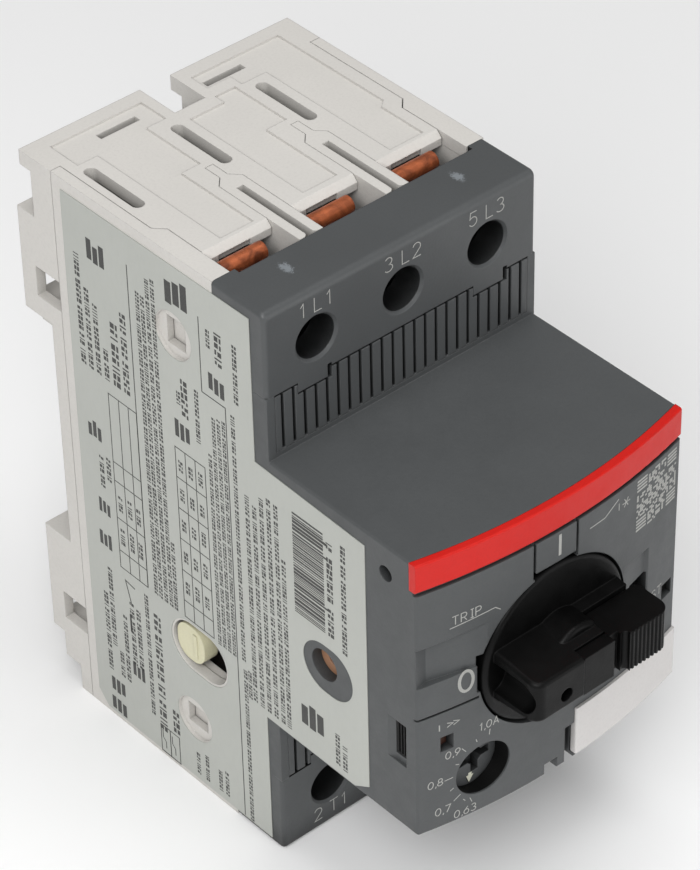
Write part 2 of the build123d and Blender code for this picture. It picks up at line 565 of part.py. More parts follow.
with BuildPart() as lock_slide:
    block(TONGUE_X + 0.1, GRIP_X + 0.5, HANDLE_FRONT + 0.1, TONGUE_REAR - 0.1, -BAR_TIP + 0.1, BAR_TIP - 0.1)
    block(GRIP_X + 0.1, GRIP_END, GRIP_FRONT, GRIP_REAR - 0.15, -BAR_TIP, BAR_TIP)
    outer_corner = lock_slide.edges().filter_by(Axis.Z).group_by(Axis.X)[-1]
    fillet(outer_corner.sort_by(Axis.Y)[0:1], 2.0)
    fillet(outer_corner.sort_by(Axis.Y)[-1:], 0.8)
    # gap beside the grip, then its first rib, which covers the corner left by the gap
    block(GRIP_X + 0.1, RIDGE_X - RIDGE_LAP, HANDLE_FRONT - 1, TONGUE_REAR - 0.9, -5, 5, Mode.SUBTRACT)
    with BuildSketch(at_level(-BAR_TIP)) as ridge:
        with Locations((RIDGE_X, GRIP_FRONT + RIDGE_R - 0.2)):
            Circle(RIDGE_R)
    extrude(ridge.sketch, amount=2 * BAR_TIP)
    # guide slot over the web of the handle
    block(GRIP_X, GRIP_END + 1, GRIP_REAR - 2.6, GRIP_REAR, -1.15, 1.15, Mode.SUBTRACT)
    # grooves between the grip's ribs
    for step in range(GRIP_GROOVES):
        with BuildSketch(at_level(-5)):
            with Locations((RIDGE_X + 0.8 + step * GRIP_PITCH, GRIP_FRONT)):
                Circle(0.2)
        extrude(amount=10, mode=Mode.SUBTRACT)
finish(lock_slide, "lock_slide")

with BuildPart() as drive_shaft:
    rod_y(KNOB_X, 0, SHAFT_R, KNOB_FLOOR - 0.2, -50.0)
    rod_y(KNOB_X, 0, 5.4, -52.0, -50.0)
    rod_y(KNOB_X, -3.9, 1.2, -50.0, -46.4)
finish(drive_shaft, "drive_shaft")

# ---------------------------------------------------------------- setting dial
with BuildPart() as current_dial:
    rod_y(DIAL_X, DIAL_Z, DIAL_R, DIAL_FACE, -68.9)
    rod_y(DIAL_X, DIAL_Z, DIAL_SHAFT_R, -68.9, -60.0)
    with BuildSketch(at_front(DIAL_FACE)):
        with Locations((DIAL_X + 0.4, DIAL_Z + 0.3)):
            Circle(1.25)
            for angle in (0, 90):
                Rectangle(5.0, 1.25, rotation=angle)
    extrude(amount=-1.5, mode=Mode.SUBTRACT)
    # arrow notch that points at the scale
    with BuildSketch(at_front(DIAL_FACE)):
        with Locations(Location((DIAL_X, DIAL_Z), 262)):
            with Locations((3.2, 0)):
                RegularPolygon(0.8, 3)
    extrude(amount=-0.4, mode=Mode.SUBTRACT)
finish(current_dial, "current_dial")

with BuildPart() as dial_cam:
    with BuildSketch(at_front(-60.0)):
        with Locations((DIAL_X + 0.8, DIAL_Z)):
            Circle(3.2)
        with Locations((DIAL_X, DIAL_Z)):
            Circle(DIAL_SHAFT_R)
    extrude(amount=-2.0)
finish(dial_cam, "dial_cam")

# ---------------------------------------------------------------- switching mechanism
FRAME_T = 1.5
LATCH_Y = -55.0
LATCH_Z = 11.0
SCREW_HEAD_R = 1.6
PIN_R = 0.8

with BuildPart() as mechanism_frame:
    block(-18.0, 15.0, FRAME_Y, FRAME_Y + FRAME_T, -19.0, 19.4)
    for x0, x1 in ((-18.0, -16.5), (13.5, 15.0)):
        block(x0, x1, FRAME_Y, -48.0, -5.0, 14.5)
        rod_x(LATCH_Y, LATCH_Z, PIN_R, x0, x1, Mode.SUBTRACT)
    rod_y(KNOB_X, 0, 5.5, FRAME_Y, -60.0)
    rod_y(KNOB_X, 0, SHAFT_R + RUNNING, -67, -59.0, Mode.SUBTRACT)
    rod_y(DIAL_X, DIAL_Z, DIAL_SHAFT_R + RUNNING, -67, -64.0, Mode.SUBTRACT)
    for x, z in BOSSES:
        rod_y(x, z, BOSS_HOLE_R + 0.1, -67, -64.0, Mode.SUBTRACT)
finish(mechanism_frame, "mechanism_frame")

with BuildPart() as frame_screws:
    for x, z in BOSSES:
        rod_y(x, z, BOSS_HOLE_R - 0.02, -68.0, FRAME_Y + FRAME_T)
        rod_y(x, z, SCREW_HEAD_R, FRAME_Y + FRAME_T, FRAME_Y + FRAME_T + 1.2)
        slot_y = FRAME_Y + FRAME_T + 0.7
        block(x - 1.2, x + 1.2, slot_y, slot_y + 1.3, z - 0.25, z + 0.25, Mode.SUBTRACT)
finish(frame_screws, "frame_screws")

with BuildPart() as latch_pin:
    rod_x(LATCH_Y, LATCH_Z, PIN_R, -18.0, 15.0)
finish(latch_pin, "latch_pin")

with BuildPart() as trip_latch:
    rod_x(LATCH_Y, LATCH_Z, 2.2, 6.0, 10.0)
    block(7.0, 9.0, LATCH_Y - 0.9, LATCH_Y + 0.9, 3.0, LATCH_Z - 1.0)
    block(5.6, 10.4, LATCH_Y - 0.9, LATCH_Y + 0.9, 2.0, 4.0)
    block(7.0, 9.0, LATCH_Y + 1.0, -49.0, LATCH_Z - 0.8, LATCH_Z + 0.8)
    rod_x(LATCH_Y, LATCH_Z, PIN_R + RUNNING, 5.0, 11.0, Mode.SUBTRACT)
finish(trip_latch, "trip_latch")

latch_spring = coil_spring((8.0, -63.9, 4.6), (0, 1, 0), 1.3, 0.25, 7.4, 6)
latch_spring.label = "latch_spring"
export_step(latch_spring, "parts/latch_spring.step")

# ---------------------------------------------------------------- contacts
CARRIER_Y = (-44.6, -41.8)
BRIDGE_Y = -38.4
FIXED_Y = -34.2
STRIP_Y = (-33.4, -32.4)
TIP_Z = 7.4

with BuildPart() as contact_carrier:
    block(-19.0, 19.0, *CARRIER_Y, -2.4, 2.4)
    for x in POLES:
        for side in (-1, 1):
            block(x + side * 2.4, x + side * 3.6, CARRIER_Y[1] - 0.5, -37.0, -1.8, 1.8)
        block(x - 3.6, x + 3.6, -37.2, -36.4, -1.8, 1.8)
finish(contact_carrier, "contact_carrier")

with BuildPart() as contact_bridges:
    for x in POLES:
        block(x - 2.1, x + 2.1, BRIDGE_Y, BRIDGE_Y + 0.9, -9.0, 9.0)
        for side in (-1, 1):
            rod_y(x, side * TIP_Z, 1.4, BRIDGE_Y + 0.9, BRIDGE_Y + 1.2)
finish(contact_bridges, "contact_bridges")

for number, x in enumerate(POLES, 1):
    spring = coil_spring((x, CARRIER_Y[1] + 0.4, 0), (0, 1, 0), 1.2, 0.28, BRIDGE_Y - CARRIER_Y[1] - 0.8, 4)
    spring.label = f"contact_spring_{number}"
    export_step(spring, f"parts/contact_spring_{number}.step")

for end, name in ((1, "line"), (-1, "load")):
    with BuildPart() as fixed_contacts:
        for x in POLES:
            low, high = sorted((end * 5.6, end * 40.6))
            block(x - 2.5, x + 2.5, *STRIP_Y, low, high)
            rod_y(x, end * TIP_Z, 1.5, FIXED_Y, STRIP_Y[0])
            rod_y(x, end * SCREW_Z, 2.0, -36, -30, Mode.SUBTRACT)
            if end > 0:
                rod_y(x, COIL_Z, 1.3, -36, -30, Mode.SUBTRACT)
    finish(fixed_contacts, f"{name}_fixed_contacts")

    with BuildPart() as arc_plates:
        for x in POLES:
            for step in range(6):
                z = end * (13.0 + step * 2.9)
                block(x - 4.6, x + 4.6, -41.8, -35.0, z - 0.4, z + 0.4)
                with BuildSketch(at_level(z - 0.5)):
                    with Locations((x, -35.0)):
                        Polygon((-2.2, 0.1), (2.2, 0.1), (0, -3.6), align=None)
                extrude(amount=1, mode=Mode.SUBTRACT)
    finish(arc_plates, f"{name}_arc_plates")

    with BuildPart() as terminal_screws:
        for x in POLES:
            rod_y(x, end * SCREW_Z, 2.75, -39.3, -37.0)
            rod_y(x, end * SCREW_Z, 1.75, -37.0, -26.0)
            for angle in (45, 135):
                with BuildSketch(at_front(-39.3)):
                    with Locations((x, end * SCREW_Z)):
                        Rectangle(4.2, 0.8, rotation=angle)
                extrude(amount=-1.3, mode=Mode.SUBTRACT)
    finish(terminal_screws, f"{name}_terminal_screws")

    with BuildPart() as clamp_cages:
        for x in POLES:
            z0, z1 = sorted((end * 34.4, end * 40.8))
            block(x - 4.1, x + 4.1, -36.9, -28.0, z0, z1)
            block(x - 2.9, x + 2.9, -35.7, -29.4, z0 - 1, z1 + 1, Mode.SUBTRACT)
            rod_y(x, end * SCREW_Z, 1.85, -38, -27, Mode.SUBTRACT)
            if end < 0:
                # the heater bracket leaves through the rear wall
                block(x - 2.35, x + 2.35, -30.0, -27.0, -40.35, -37.85, Mode.SUBTRACT)
    finish(clamp_cages, f"{name}_clamp_cages")

    with BuildPart() as clamp_bars:
        for x in POLES:
            y, z, radius = CLAMP_BAR
            rod_x(y, end * z, radius, x + CLAMP_BAR_X[0], x + CLAMP_BAR_X[1])
    finish(clamp_bars, f"{name}_clamp_bars")

# ---------------------------------------------------------------- releases
with BuildPart() as coil_bobbins:
    for x in POLES:
        rod_y(x, COIL_Z, 3.0, -29.8, -12.4)
        for y in (-29.8, -13.2):
            rod_y(x, COIL_Z, 4.5, y, y + 0.8)
        rod_y(x, COIL_Z, 2.2, -31, -11, Mode.SUBTRACT)
finish(coil_bobbins, "coil_bobbins")

with BuildPart() as magnet_coils:
    for x in POLES:
        for turn in range(8):
            y = -27.9 + turn * 1.9
            with Locations(Location((x, y, COIL_Z), (90, 0, 0))):
                Torus(3.85, 0.8)
finish(magnet_coils, "magnet_coils")

with BuildPart() as magnet_yokes:
    for x in POLES:
        block(x - 4.6, x + 4.6, -31.0, -29.9, 17.0, 28.6)
        block(x - 4.6, x + 4.6, -12.3, -11.2, 17.0, 28.6)
        block(x - 4.6, x + 4.6, -31.0, -11.2, 27.5, 28.6)
        rod_y(x, COIL_Z, 2.2, -32, -10, Mode.SUBTRACT)
finish(magnet_yokes, "magnet_yokes")

for number, x in enumerate(POLES, 1):
    with BuildPart() as trip_plunger:
        rod_y(x, COIL_Z, 2.12, -24.0, -8.0)
        rod_y(x, COIL_Z, 0.9, -32.0, -24.0)
        rod_y(x, COIL_Z, 2.9, -9.0, -8.0)
    finish(trip_plunger, f"trip_plunger_{number}")

with BuildPart() as bimetal_strips:
    for x in POLES:
        block(x - 0.4, x + 0.4, BIMETAL_Y - 2, BIMETAL_Y + 2, -38.0, SLIDER_Z + 2.0)
finish(bimetal_strips, "bimetal_strips")

with BuildPart() as heater_windings:
    for x in POLES:
        for turn in range(7):
            z = -32.0 + turn * 3.0
            block(x - 1.5, x + 1.5, BIMETAL_Y - 3.2, BIMETAL_Y + 3.2, z - 0.6, z + 0.6)
            block(x - 0.7, x + 0.7, BIMETAL_Y - 2.3, BIMETAL_Y + 2.3, z - 1, z + 1, Mode.SUBTRACT)
finish(heater_windings, "heater_windings")

with BuildPart() as heater_brackets:
    for x in POLES:
        block(x - 2.2, x + 2.2, STRIP_Y[1], BIMETAL_Y + 2.4, -40.2, -38.0)
        rod_y(x, -SCREW_Z, 1.9, -33, -25.8, Mode.SUBTRACT)
finish(heater_brackets, "heater_brackets")

with BuildPart() as trip_slider:
    block(-18.0, 18.0, BIMETAL_Y - 2.9, BIMETAL_Y + 2.9, SLIDER_Z - 0.6, SLIDER_Z + 0.6)
    for x in POLES:
        block(x - 1.8, x + 1.8, BIMETAL_Y - 2.15, BIMETAL_Y + 2.15, SLIDER_Z - 1, SLIDER_Z + 1, Mode.SUBTRACT)
finish(trip_slider, "trip_slider")

# ---------------------------------------------------------------- small moving pieces
with BuildPart() as test_button:
    block(TEST_X - 0.9, TEST_X + 0.9, -70.6, -61.0, TEST_Z - 1.05, TEST_Z + 1.05)
    block(17.2, TEST_X - 0.5, -66.6, -65.4, TEST_Z - 1.05, TEST_Z + 1.05)
finish(test_button, "test_button")

with BuildPart() as trip_flag:
    block(FLAG_X - 0.75, FLAG_X + 0.75, -71.0, -66.9, FLAG_Z - 1.05, FLAG_Z + 1.05)
    block(FLAG_X - 1.1, FLAG_X + 1.3, -67.4, -66.6, FLAG_Z - 1.7, FLAG_Z + 1.7)
finish(trip_flag, "trip_flag")

with BuildPart() as auxiliary_lever:
    block(-22.2, -19.9, -28.6, -23.0, -22.9, -16.9)
    fillet(auxiliary_lever.edges().filter_by(Axis.X), 2.4)
    block(-22.35, -22.0, -27.2, -26.4, -21.9, -17.9)
finish(auxiliary_lever, "auxiliary_lever")

with BuildPart() as rail_clip:
    block(-CLIP_X + 0.25, CLIP_X - 0.25, 0.5, 1.85, -38.0, -18.4)
    block(-CLIP_X + 1.75, CLIP_X - 1.75, 1.8, 4.6, -38.0, -16.6)
    nose = rail_clip.edges().filter_by(Axis.X).group_by(Axis.Z)[-1].sort_by(Axis.Y)[-1]
    chamfer(nose, 1.6)
    block(-4.5, 4.5, 0.5, 3.0, -44.8, -37.5)
    block(-4.5, 4.5, 0.5, 5.2, -44.8, -43.4)
    block(-1.5, 1.5, 1.5, 6.0, -42.2, -39.2, Mode.SUBTRACT)
finish(rail_clip, "rail_clip")
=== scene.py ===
"""Looks of the motor protection breaker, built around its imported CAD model. Lengths are in metres."""
import math
import random

import bmesh
import bpy
from mathutils import Matrix, Vector


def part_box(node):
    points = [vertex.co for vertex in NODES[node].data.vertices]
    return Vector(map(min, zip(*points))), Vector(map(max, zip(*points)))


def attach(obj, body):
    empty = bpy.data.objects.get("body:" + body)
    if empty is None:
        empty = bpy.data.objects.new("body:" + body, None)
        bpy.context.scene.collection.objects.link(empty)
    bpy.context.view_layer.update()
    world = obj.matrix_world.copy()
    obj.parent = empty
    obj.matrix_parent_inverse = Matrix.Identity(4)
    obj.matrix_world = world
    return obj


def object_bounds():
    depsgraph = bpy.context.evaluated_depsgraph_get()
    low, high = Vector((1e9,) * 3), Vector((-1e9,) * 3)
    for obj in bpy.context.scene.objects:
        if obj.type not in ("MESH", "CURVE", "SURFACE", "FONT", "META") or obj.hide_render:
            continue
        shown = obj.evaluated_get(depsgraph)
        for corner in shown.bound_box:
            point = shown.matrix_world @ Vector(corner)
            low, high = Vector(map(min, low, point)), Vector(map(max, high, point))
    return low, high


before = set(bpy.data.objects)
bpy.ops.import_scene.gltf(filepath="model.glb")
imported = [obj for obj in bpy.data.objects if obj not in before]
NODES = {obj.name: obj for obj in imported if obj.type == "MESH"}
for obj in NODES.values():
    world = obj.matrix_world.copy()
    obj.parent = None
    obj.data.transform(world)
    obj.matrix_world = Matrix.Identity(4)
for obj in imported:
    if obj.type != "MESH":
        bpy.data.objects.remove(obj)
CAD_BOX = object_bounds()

MM = 0.001

# ---------------------------------------------------------------- camera, lights and floor
CAMERA_AT = Vector((-0.25342, -0.33020, 0.32344))
CAMERA_AZIMUTH = -40.49
CAMERA_ELEVATION = 38.94
CAMERA_ROLL = -1.365
LENS = 159.36
CLIP_NEAR = 0.05
CLIP_FAR = 10
WORLD_STRENGTH = 0.27
FLOOR_HALF = 4.0
# name, azimuth, elevation, distance, power of each light
LIGHTS = (("key", -50, 42, 0.9, 5.6), ("overhead", 20, 80, 0.9, 3.0), ("front", 25, 12, 1.0, 1.6))
LIGHT_SIZE = 0.5


def direction(azimuth, elevation):
    """Unit vector from the object towards a viewer; azimuth 0 is the front and negative is the left."""
    a = math.radians(azimuth)
    e = math.radians(elevation)
    return Vector((math.sin(a) * math.cos(e), -math.cos(a) * math.cos(e), math.sin(e)))


def make_camera():
    data = bpy.data.cameras.new("camera")
    data.lens = LENS
    data.sensor_width = 36
    data.clip_start = CLIP_NEAR
    data.clip_end = CLIP_FAR
    camera = bpy.data.objects.new("camera", data)
    bpy.context.scene.collection.objects.link(camera)
    aim = (-direction(CAMERA_AZIMUTH, CAMERA_ELEVATION)).to_track_quat("-Z", "Y").to_matrix().to_4x4()
    roll = Matrix.Rotation(math.radians(CAMERA_ROLL), 4, "Z")
    camera.matrix_world = Matrix.Translation(CAMERA_AT) @ aim @ roll
    bpy.context.scene.camera = camera


def make_light(name, azimuth, elevation, distance, power):
    """A square soft light that faces the object."""
    data = bpy.data.lights.new(name, "AREA")
    data.shape = "SQUARE"
    data.size = LIGHT_SIZE
    data.energy = power
    light = bpy.data.objects.new(name, data)
    bpy.context.scene.collection.objects.link(light)
    towards = direction(azimuth, elevation)
    light.location = towards * distance
    light.rotation_mode = "QUATERNION"
    light.rotation_quaternion = (-towards).to_track_quat("-Z", "Y")


def make_world():
    world = bpy.data.worlds.new("studio")
    bpy.context.scene.world = world
    world.use_nodes = True
    background = world.node_tree.nodes["Background"]
    background.inputs["Color"].default_value = (1, 1, 1, 1)
    background.inputs["Strength"].default_value = WORLD_STRENGTH


def make_floor():
    mesh = bpy.data.meshes.new("floor")
    z = CAD_BOX[0].z
    corners = [(-FLOOR_HALF, -FLOOR_HALF, z), (FLOOR_HALF, -FLOOR_HALF, z),
               (FLOOR_HALF, FLOOR_HALF, z), (-FLOOR_HALF, FLOOR_HALF, z)]
    mesh.from_pydata(corners, [], [(0, 1, 2, 3)])
    floor = bpy.data.objects.new("floor", mesh)
    bpy.context.scene.collection.objects.link(floor)
    material = bpy.data.materials.new("pale_floor")
    material.use_nodes = True
    shader = material.node_tree.nodes["Principled BSDF"]
    shader.inputs["Base Color"].default_value = (0.93, 0.93, 0.93, 1)
    shader.inputs["Roughness"].default_value = 0.9
    shader.inputs["Specular IOR Level"].default_value = 0.1
    mesh.materials.append(material)


make_camera()
make_world()
for light_settings in LIGHTS:
    make_light(*light_settings)
make_floor()
bpy.context.scene.view_settings.view_transform = "Standard"


# ---------------------------------------------------------------- materials
def linear(*srgb):
    """Linear colour from 8-bit sRGB values."""
    shares = [c / 255 for c in srgb]
    return tuple(share / 12.92 if share <= 0.04045 else ((share + 0.055) / 1.055) ** 2.4 for share in shares)


class Graph:
    """Short-hand for building one material's nodes."""

    def __init__(self, name):
        self.material = bpy.data.materials.new(name)
        self.material.use_nodes = True
        self.tree = self.material.node_tree
        self.shader = self.tree.nodes["Principled BSDF"]
        self.place = self.add("ShaderNodeTexCoord").outputs["Object"]

    def add(self, kind, **settings):
        node = self.tree.nodes.new(kind)
        for key, value in settings.items():
            setattr(node, key, value)
        return node

    def join(self, source, target):
        self.tree.links.new(source, target)

    def put(self, node, **values):
        """Sets inputs by name, or links them where the value is a socket."""
        for key, value in values.items():
            socket = node.inputs[key.replace("_", " ")]
            if isinstance(value, bpy.types.NodeSocket):
                self.join(value, socket)
            else:
                socket.default_value = value
        return node

    def noise(self, scale, detail=2.0, roughness=0.5, stretch=None, distortion=0.0):
        """Noise in the part's own frame; scale is in features per metre."""
        source = self.place
        if stretch:
            mapping = self.add("ShaderNodeMapping")
            mapping.inputs["Scale"].default_value = stretch
            self.join(self.place, mapping.inputs["Vector"])
            source = mapping.outputs["Vector"]
        node = self.add("ShaderNodeTexNoise")
        self.put(node, Vector=source, Scale=scale, Detail=detail, Roughness=roughness, Distortion=distortion)
        return node.outputs["Fac"]

    def spread(self, value, low, high, from_low=0.0, from_high=1.0):
        """Maps a 0 to 1 value to a range."""
        node = self.add("ShaderNodeMapRange")
        inputs = node.inputs
        self.join(value, inputs["Value"])
        inputs["From Min"].default_value = from_low
        inputs["From Max"].default_value = from_high
        inputs["To Min"].default_value = low
        inputs["To Max"].default_value = high
        return node.outputs["Result"]

    def math(self, operation, a, b=0.0):
        node = self.add("ShaderNodeMath", operation=operation)
        for socket, value in zip(node.inputs, (a, b)):
            if isinstance(value, bpy.types.NodeSocket):
                self.join(value, socket)
            else:
                socket.default_value = value
        return node.outputs[0]

    def mix(self, factor, a, b):
        node = self.add("ShaderNodeMix", data_type="RGBA")
        for socket, value in zip((node.inputs[0], node.inputs[6], node.inputs[7]), (factor, a, b)):
            if isinstance(value, bpy.types.NodeSocket):
                self.join(value, socket)
            else:
                socket.default_value = (*value, 1) if isinstance(value, tuple) else value
        return node.outputs[2]

    def rounded(self, radius):
        """A normal that softens sharp edges, and a mask of those edges."""
        bevel = self.add("ShaderNodeBevel", samples=4)
        bevel.inputs["Radius"].default_value = radius
        geometry = self.add("ShaderNodeNewGeometry")
        dot = self.add("ShaderNodeVectorMath", operation="DOT_PRODUCT")
        self.join(bevel.outputs["Normal"], dot.inputs[0])
        self.join(geometry.outputs["Normal"], dot.inputs[1])
        edge = self.spread(dot.outputs["Value"], 1.0, 0.0, 0.75, 0.995)
        return bevel.outputs["Normal"], edge

    def cavity(self, distance, closed, open_):
        """Mask of deep narrow places, where shade is painted: 1 where the open share of the view falls to
        closed, 0 from open_ up.
        """
        node = self.add("ShaderNodeAmbientOcclusion", samples=6)
        node.inputs["Distance"].default_value = distance
        return self.spread(node.outputs["AO"], 1.0, 0.0, closed, open_)

    def bump(self, height, strength, distance, normal=None):
        node = self.add("ShaderNodeBump")
        self.join(height, node.inputs["Height"])
        node.inputs["Strength"].default_value = strength
        node.inputs["Distance"].default_value = distance
        if normal:
            self.join(normal, node.inputs["Normal"])
        return node.outputs["Normal"]


def scaled(colour, factor):
    return tuple(min(1.0, c * factor) for c in colour)


# reach of the occlusion mask that paints shade into cavities
CAVITY_REACH = 8.0 * MM
GRAIN_DEPTH = 0.05 * MM


def plastic(name, colour, roughness, grain=0.35, grain_scale=2600, edge=0.2 * MM, wear=0.35, variation=0.08,
            specular=0.5, painted_shade_strength=0.4, shade=(0.12, 0.45), spots=()):
    """Moulded plastic: spark-eroded grain, faint mottling, worn and rounded edges, and painted shade that
    darkens its cavities, creases and holes.
    """
    g = Graph(name)
    normal, edges = g.rounded(edge)
    fine = g.noise(grain_scale, detail=3.0, roughness=0.6)
    broad = g.noise(70, detail=2.0)
    patches = g.noise(420, detail=3.0, roughness=0.6)
    mottle = g.spread(broad, 0.0, 1.0, 0.3, 0.7)
    base = g.mix(mottle, scaled(colour, 1 - variation), scaled(colour, 1 + variation))
    base = g.mix(g.spread(fine, 0.0, 0.5, 0.45, 0.8), base, scaled(colour, 0.86))
    worn = g.math("MULTIPLY", edges, g.spread(patches, 0.25, 1.0, 0.35, 0.65))
    pale = tuple(c + (1 - c) * 0.22 for c in colour)
    base = g.mix(g.math("MULTIPLY", worn, wear), base, pale)
    for centre, size, tint in spots:
        base = gate_mark(g, base, centre, size, tint)
    # painted shade: an occlusion mask darkens cavities, creases, slots and holes towards 6% of the colour
    base = g.mix(g.math("MULTIPLY", g.cavity(CAVITY_REACH, *shade), painted_shade_strength), base, scaled(colour, 0.06))
    g.join(base, g.shader.inputs["Base Color"])
    rough = g.spread(patches, roughness - 0.05, roughness + 0.07, 0.3, 0.7)
    rough = g.math("SUBTRACT", rough, g.math("MULTIPLY", worn, 0.12))
    g.join(rough, g.shader.inputs["Roughness"])
    g.shader.inputs["Specular IOR Level"].default_value = specular
    g.join(g.bump(fine, grain, GRAIN_DEPTH, normal), g.shader.inputs["Normal"])
    return g.material


def gate_mark(g, base, centre, size, tint):
    """A smeared pale mark, as left where a part is broken off its sprue."""
    offset = g.add("ShaderNodeVectorMath", operation="SUBTRACT")
    g.join(g.place, offset.inputs[0])
    offset.inputs[1].default_value = centre
    squeeze = g.add("ShaderNodeVectorMath", operation="MULTIPLY")
    g.join(offset.outputs[0], squeeze.inputs[0])
    squeeze.inputs[1].default_value = tuple(1 / s for s in size)
    length = g.add("ShaderNodeVectorMath", operation="LENGTH")
    g.join(squeeze.outputs[0], length.inputs[0])
    ragged = g.noise(2200, detail=4.0, roughness=0.75, distortion=1.5)
    reach = g.math("ADD", length.outputs["Value"], g.spread(ragged, -0.8, 0.8, 0.2, 0.8))
    mask = g.spread(reach, 1.0, 0.0, 0.55, 0.95)
    return g.mix(mask, base, tint)


def film(name, colour):
    """Printed label film: smooth, satin, with a faint fibre grain."""
    g = Graph(name)
    normal, edges = g.rounded(0.1 * MM)
    fibre = g.noise(1500, detail=4.0, roughness=0.7, stretch=(1, 1, 0.35))
    broad = g.noise(55, detail=3.0)
    base = g.mix(g.spread(broad, 0.0, 1.0, 0.3, 0.7), scaled(colour, 0.965), scaled(colour, 1.03))
    base = g.mix(g.spread(fibre, 0.0, 0.25, 0.5, 0.8), base, scaled(colour, 0.92))
    base = g.mix(g.math("MULTIPLY", edges, 0.25), base, scaled(colour, 0.8))
    g.join(base, g.shader.inputs["Base Color"])
    g.join(g.spread(fibre, 0.34, 0.46, 0.3, 0.7), g.shader.inputs["Roughness"])
    g.join(g.bump(fibre, 0.12, 0.02 * MM, normal), g.shader.inputs["Normal"])
    return g.material


def ink(name, colour, roughness=0.5):
    """Pad-printed ink with tiny breaks in its cover."""
    g = Graph(name)
    speck = g.noise(5200, detail=3.0, roughness=0.7)
    base = g.mix(g.spread(speck, 0.0, 0.6, 0.5, 0.8), colour, scaled(colour, 0.72))
    g.join(base, g.shader.inputs["Base Color"])
    g.join(g.spread(speck, roughness - 0.08, roughness + 0.12, 0.3, 0.7), g.shader.inputs["Roughness"])
    g.join(g.bump(speck, 0.2, 0.01 * MM), g.shader.inputs["Normal"])
    return g.material


def metal(name, colour, dark, roughness, stretch, scratch=0.5, scale=900, edge=0.15 * MM, metallic=1.0):
    """Drawn or pressed metal: fine scratches along one axis, stained patches and bright edges."""
    g = Graph(name)
    normal, edges = g.rounded(edge)
    lines = g.noise(scale, detail=5.0, roughness=0.7, stretch=stretch)
    stains = g.noise(380, detail=4.0, roughness=0.65, distortion=0.6)
    base = g.mix(g.spread(stains, 0.0, 1.0, 0.38, 0.66), colour, dark)
    base = g.mix(g.spread(lines, 0.0, 0.55, 0.5, 0.75), base, scaled(dark, 0.75))
    base = g.mix(g.math("MULTIPLY", edges, 0.4), base, scaled(colour, 1.25))
    g.join(base, g.shader.inputs["Base Color"])
    g.shader.inputs["Metallic"].default_value = metallic
    g.join(g.spread(lines, roughness - 0.1, roughness + 0.15, 0.3, 0.7), g.shader.inputs["Roughness"])
    g.join(g.bump(lines, scratch, 0.04 * MM, normal), g.shader.inputs["Normal"])
    return g.material


# marks on top of the upper shroud where it was broken off its sprue
LINE_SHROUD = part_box("line_terminal_shroud")
GATE_Y = LINE_SHROUD[0].y + 5.6 * MM
GATE_X = (-14.0 * MM, 14.3 * MM)
GATE_SIZE = (0.8 * MM, 1.35 * MM, 1.0 * MM)
GATE_TINT = linear(122, 127, 131)
GATES = [(Vector((x, GATE_Y, LINE_SHROUD[1].z)), GATE_SIZE, GATE_TINT) for x in GATE_X]

LIGHT_GREY = linear(205, 202, 197)
DARK_GREY = linear(75, 77, 78)
MATERIALS = {
    "light_grey": plastic("light_grey_plastic", LIGHT_GREY, 0.44, grain=0.25, wear=0.2, variation=0.02,
                          specular=0.4),
    # strong painted shade in the front's recesses and slots
    "dark_grey": plastic("dark_grey_plastic", DARK_GREY, 0.48, grain=0.4, wear=0.25, variation=0.05,
                         specular=0.4, painted_shade_strength=0.95),
    # stronger painted shade over a wider range, which blackens the walls of the terminal holes
    "shroud": plastic("dark_grey_shroud_plastic", DARK_GREY, 0.44, grain=0.4, wear=0.25, variation=0.05,
                      specular=0.4, painted_shade_strength=1.0, shade=(0.45, 0.8), spots=GATES),
    "black": plastic("black_plastic", linear(5, 5, 5), 0.42, grain=0.3, wear=0.02, variation=0.15,
                     specular=0.15),
    "red": plastic("red_plastic", linear(198, 22, 13), 0.42, grain=0.2, wear=0.08, variation=0.04,
                   specular=0.3),
    "white": plastic("white_plastic", linear(209, 206, 204), 0.4, grain=0.15, wear=0.1, variation=0.015),
    "cream": plastic("cream_plastic", linear(212, 208, 176), 0.4, grain=0.15, wear=0.2, variation=0.04),
    "brown": plastic("brown_plastic", linear(64, 36, 24), 0.45, grain=0.2, wear=0.2, variation=0.08),
    "dark_insert": plastic("black_inner_plastic", linear(14, 14, 14), 0.5, grain=0.3, wear=0.05,
                           specular=0.15),
    "socket": plastic("tan_insert", linear(170, 128, 100), 0.4, grain=0.3, wear=0.3, variation=0.12),
    "label": film("label_film", linear(176, 178, 172)),
    "copper": metal("copper", linear(190, 104, 64), linear(118, 62, 38), 0.42, (0.35, 1.2, 1.2), 0.7,
                    metallic=0.5),
    "steel": metal("zinc_steel", linear(196, 198, 200), linear(136, 138, 140), 0.36, (1, 0.3, 1),
                   scratch=0.3),
    "spring": metal("spring_steel", linear(170, 170, 172), linear(110, 110, 114), 0.3, (1, 1, 1),
                    scratch=0.2),
    "bimetal": metal("bimetal", linear(190, 176, 140), linear(140, 124, 90), 0.35, (1, 1, 0.2), scratch=0.3),
    "pale_ink": ink("pale_ink", linear(164, 164, 160)),
    "black_ink": ink("black_ink", linear(46, 46, 44), 0.42),
    "cream_ink": ink("cream_ink", linear(214, 214, 196)),
}

